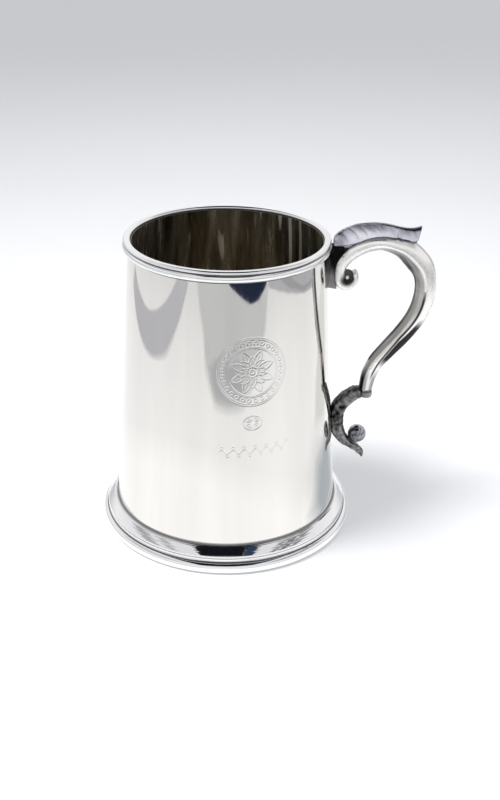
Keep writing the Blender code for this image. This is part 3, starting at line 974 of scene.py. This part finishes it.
def make_floor():
    """A plain pale table top that glows a little, and most near the tankard: a painted pool of light."""
    mesh = bpy.data.meshes.new("floor")
    size = FLOOR_HALF_SIZE
    corners = [(-size, -size, 0), (size, -size, 0), (size, size, 0), (-size, size, 0)]
    mesh.from_pydata(corners, [], [(0, 1, 2, 3)])
    floor = bpy.data.objects.new("floor", mesh)
    bpy.context.scene.collection.objects.link(floor)
    made = bpy.data.materials.new("white_table")
    made.use_nodes = True
    nodes = Nodes(made.node_tree)
    shader = made.node_tree.nodes["Principled BSDF"]
    where = nodes.add("ShaderNodeTexCoord").outputs["Object"]
    clouds = noise_value(nodes, where, 3.0, 2.0)
    tone = mixed(nodes, clouds, (0.34, 0.34, 0.35), (0.36, 0.36, 0.365))
    made.node_tree.links.new(tone, shader.inputs["Base Color"])
    shader.inputs["Roughness"].default_value = 0.9
    shader.inputs["Specular IOR Level"].default_value = 0.0
    shader.inputs["Emission Color"].default_value = (0.955, 0.975, 1.0, 1.0)
    reach = nodes.add("ShaderNodeVectorMath", {0: where}, operation="LENGTH").outputs["Value"]
    # Painted pool of light: the glow fades from the tankard outward.
    glow = spread(nodes, reach, 0.12, 0.5, FLOOR_GLOW, FAR_FLOOR_GLOW)
    made.node_tree.links.new(glow, shader.inputs["Emission Strength"])
    mesh.materials.append(made)


def reflector(name, outline, feather, colour):
    """A card seen only in the polish: a flat outline whose cover fades out over the feather, in millimetres.

    It is filled as a fan about its middle.
    """
    outline = np.asarray(outline, float)
    middle = outline.mean(axis=0)
    away = outline - middle
    away /= np.linalg.norm(away, axis=1)[:, None]
    outside = outline + away * feather
    count = len(outline)
    points = np.vstack([middle, outline, outside]) * MM + (AXIS_X, 0.0, 0.0)
    faces = []
    for index in range(count):
        after = (index + 1) % count
        faces.append((0, 1 + index, 1 + after))
        faces.append((1 + index, 1 + count + index, 1 + count + after, 1 + after))
    mesh = bpy.data.meshes.new(name)
    mesh.from_pydata(points.tolist(), [], faces)
    vertex_value(mesh, "cover", [1.0] * (1 + count) + [0.0] * count)
    made = bpy.data.materials.new(name)
    made.use_nodes = True
    tree = made.node_tree
    tree.nodes.clear()
    nodes = Nodes(tree)
    cover = nodes.add("ShaderNodeAttribute", attribute_name="cover").outputs["Fac"]
    clear = nodes.add("ShaderNodeBsdfTransparent").outputs[0]
    glow = nodes.add("ShaderNodeEmission", {"Color": (*colour, 1.0), "Strength": 1.0}).outputs[0]
    mix = nodes.add("ShaderNodeMixShader", {0: cover, 1: clear, 2: glow}).outputs[0]
    nodes.add("ShaderNodeOutputMaterial", {"Surface": mix})
    mesh.materials.append(made)
    card = bpy.data.objects.new(name, mesh)
    bpy.context.scene.collection.objects.link(card)
    card.visible_camera = False
    card.visible_diffuse = False
    card.visible_shadow = False


CEILING = 900.0

# Name, left, right, front and back as shares of the ceiling's height, feather and colour
CEILING_CARDS = (
    ("ceiling_dark", -0.37, 0.24, -0.72, 1.1, 12, (0.006, 0.007, 0.01)),
    ("ceiling_blue", 0.24, 0.39, -0.72, 0.9, 50, (0.03, 0.05, 0.10)),
    ("ceiling_grey_near", 0.66, 0.76, -0.85, 0.5, 25, (0.30, 0.30, 0.31)),
    ("ceiling_grey_middle", 0.80, 0.94, -0.85, 0.5, 25, (0.20, 0.20, 0.21)),
    ("ceiling_grey_far", 1.00, 1.15, -0.85, 0.5, 30, (0.26, 0.26, 0.27)),
    ("ceiling_left_near", -0.86, -0.72, -0.85, 0.5, 50, (0.52, 0.52, 0.54)),
    ("ceiling_left_far", -1.35, -1.05, -0.85, 0.5, 60, (0.46, 0.46, 0.48)),
)

# Name, height, feather, colour and outline
FLOOR_CARDS = (
    ("front_shade", 0.6, 22, (0.68, 0.695, 0.71), (
        (-40, -240), (60, -232), (230, -290), (330, -350), (520, -620),
        (-420, -620), (-250, -425), (-150, -345), (-95, -285),
    )),
    ("front_wedge", 1.2, 6, (0.018, 0.026, 0.055), (
        (330, -368), (250, -384), (190, -412), (130, -458), (80, -490),
        (20, -520), (60, -640), (460, -640), (520, -420),
    )),
    ("near_glow", 0.5, 44, (1.26, 1.255, 1.28), arc((-26, -34), 84, 0, 345, 23)),
    ("front_shade_tip", 0.9, 30, (0.53, 0.54, 0.58), (
        (-34, -252), (48, -246), (80, -285), (40, -305), (-50, -305), (-70, -285),
    )),
    ("left_band", 0.6, 20, (0.60, 0.60, 0.65), (
        (-325, 210), (-278, 190), (-268, 0), (-272, -120), (-300, -240),
        (-335, -370), (-420, -340), (-385, -200), (-345, 0),
    )),
    ("right_far", 0.6, 10, (0.52, 0.53, 0.57), (
        (340, -350), (372, -280), (398, -205), (410, -120), (404, -40),
        (384, 40), (364, 100), (520, 140), (800, 0), (800, -500),
    )),
    # Painted shadow of the tankard on the table, seen only in the polish.
    ("right_beside_painted_shadow", 0.6, 24, (0.84, 0.84, 0.83), (
        (150, 28), (196, 62), (262, 150), (275, 235), (215, 225), (160, 115), (126, 62),
    )),
    # Painted shadow close by the foot, seen only in the polish.
    ("right_low_painted_shadow", 0.9, 26, (0.50, 0.54, 0.60), (
        (57, -10), (66, -10), (84, 8), (98, 30), (84, 36), (62, 14),
    )),
    ("right_line", 0.9, 3, (0.42, 0.42, 0.44), (
        (366, 140), (398, 0), (428, -100), (438, -160), (418, -240),
        (426, -242), (450, -160), (440, -100), (410, 0), (376, 140),
    )),
)


def make_reflectors():
    """What the polish shows: a dark ceiling strip, and on the table pale shade, a dark wedge, a glow and
    painted shadow beside the tankard.
    """
    for name, left, right, front, painted_back_shade, feather, colour in CEILING_CARDS:
        corners = ((left, front), (right, front), (right, painted_back_shade), (left, painted_back_shade))
        reflector(name, [(x * CEILING, y * CEILING, CEILING) for x, y in corners], feather, colour)
    for name, height, feather, colour, outline in FLOOR_CARDS:
        reflector(name, [(x, y, height) for x, y in outline], feather, colour)


KEY_PLACE = (-1.2, -0.25, 2.3)
KEY_TARGET = (0.0, 0.0, 0.03)
KEY_POWER = 720.0
KEY_SIZE = 0.6


def make_light():
    """A broad soft key from the left, which the polish doesn't show."""
    data = bpy.data.lights.new("key", "SPOT")
    data.spot_size = math.radians(30)
    data.spot_blend = 1.0
    data.shadow_soft_size = KEY_SIZE
    data.energy = KEY_POWER
    key = bpy.data.objects.new("key", data)
    bpy.context.scene.collection.objects.link(key)
    key.location = KEY_PLACE
    key.rotation_mode = "QUATERNION"
    key.rotation_quaternion = (Vector(KEY_TARGET) - key.location).to_track_quat("-Z", "Y")
    key.visible_glossy = False
    key.visible_camera = False


def make_room():
    """A pale room: white near the horizon, a little darker above, and greyer low down at the two sides."""
    world = bpy.data.worlds.new("room")
    bpy.context.scene.world = world
    world.use_nodes = True
    nodes = Nodes(world.node_tree)
    way = nodes.add("ShaderNodeTexCoord").outputs["Generated"]
    sideways, _, height = nodes.add("ShaderNodeSeparateXYZ", {0: way}).outputs
    to_side = spread(nodes, math_value(nodes, "ABSOLUTE", sideways), 0.12, 0.4, 0.0, 1.0)
    low = spread(nodes, height, 0.08, 0.3, 1.0, 0.0)
    rise = spread(nodes, height, 0.1, 0.75, 0.0, 1.0)
    open_tone = mixed(nodes, rise, (1.0, 1.0, 1.0), (0.80, 0.80, 0.82))
    tone = mixed(nodes, math_value(nodes, "MULTIPLY", to_side, low), open_tone, (0.62, 0.62, 0.64))
    backdrop = world.node_tree.nodes["Background"]
    world.node_tree.links.new(tone, backdrop.inputs["Color"])
    backdrop.inputs["Strength"].default_value = 1.05


def make_finishes():
    """The pewter of each kind of piece."""
    return {
        "barrel": metal(
            "barrel_pewter", light=(0.79, 0.775, 0.735), dark=(0.73, 0.715, 0.68), shade_and_tarnish=(0.5, 0.5, 0.51),
            gloss=(0.02, 0.05), cloud=55, grain=900, stretch=(1, 1, 0.06),
            inside={
                "dark": (0.46, 0.41, 0.33), "light": (0.98, 0.93, 0.82),
                "gloss": (0.10, 0.30), "relief": 0.0006,
            },
        ),
        "ring": metal(
            "ring_pewter", light=(0.92, 0.925, 0.92), dark=(0.84, 0.84, 0.83), shade_and_tarnish=(0.05, 0.055, 0.06),
            gloss=(0.03, 0.07), cloud=30, grain=900,
        ),
        "base": metal(
            "base_pewter", light=(0.60, 0.57, 0.50), dark=(0.45, 0.42, 0.35), shade_and_tarnish=(0.3, 0.3, 0.3),
            gloss=(0.16, 0.28), cloud=60, grain=900, bump=0.00001,
        ),
        "foot": metal(
            "foot_pewter", light=(0.92, 0.92, 0.92), dark=(0.86, 0.86, 0.86), shade_and_tarnish=(0.06, 0.06, 0.065),
            gloss=(0.02, 0.06), cloud=30, grain=900,
        ),
        "satin": metal(
            "satin_pewter", light=(0.96, 0.945, 0.92), dark=(0.88, 0.86, 0.835),
            shade_and_tarnish=(0.012, 0.012, 0.016), gloss=(0.22, 0.32), cloud=90, grain=500, bump=0.00001,
        ),
        "chased": metal(
            "chased_pewter", light=(0.88, 0.88, 0.95), dark=(0.64, 0.65, 0.73), shade_and_tarnish=(0.03, 0.03, 0.05),
            gloss=(0.36, 0.5), cloud=160, grain=1600, bump=0.00004,
        ),
        "cast": metal(
            "cast_pewter", light=(0.50, 0.50, 0.50), dark=(0.27, 0.27, 0.25), shade_and_tarnish=(0.008, 0.008, 0.008),
            gloss=(0.22, 0.42), cloud=260, grain=1800, bump=0.0001,
        ),
        "ball": metal(
            "ball_pewter", light=(0.52, 0.53, 0.57), dark=(0.36, 0.36, 0.40), shade_and_tarnish=(0.02, 0.02, 0.03),
            gloss=(0.06, 0.14), cloud=200, grain=700, bump=0.00001, recess_rough=0.06,
        ),
    }


def main():
    bpy.context.scene.view_settings.view_transform = "Standard"
    make_camera()
    make_floor()
    make_reflectors()
    make_light()
    make_room()

    finish = make_finishes()
    make_barrel(finish["barrel"])
    make_mouth_ring(finish["ring"])
    make_foot(finish["foot"])
    make_base(finish["base"])
    route = np.vstack([volute_route(), catmull(GRIP_ROUTE, 10)])
    make_grip(finish["satin"], route)
    make_volute_eye(finish["satin"])
    make_leaf(finish["chased"], route)
    make_lower_scroll(finish["cast"])
    make_knuckle(finish["cast"])
    make_bridge(finish["cast"])
    make_ball(finish["ball"])


main()
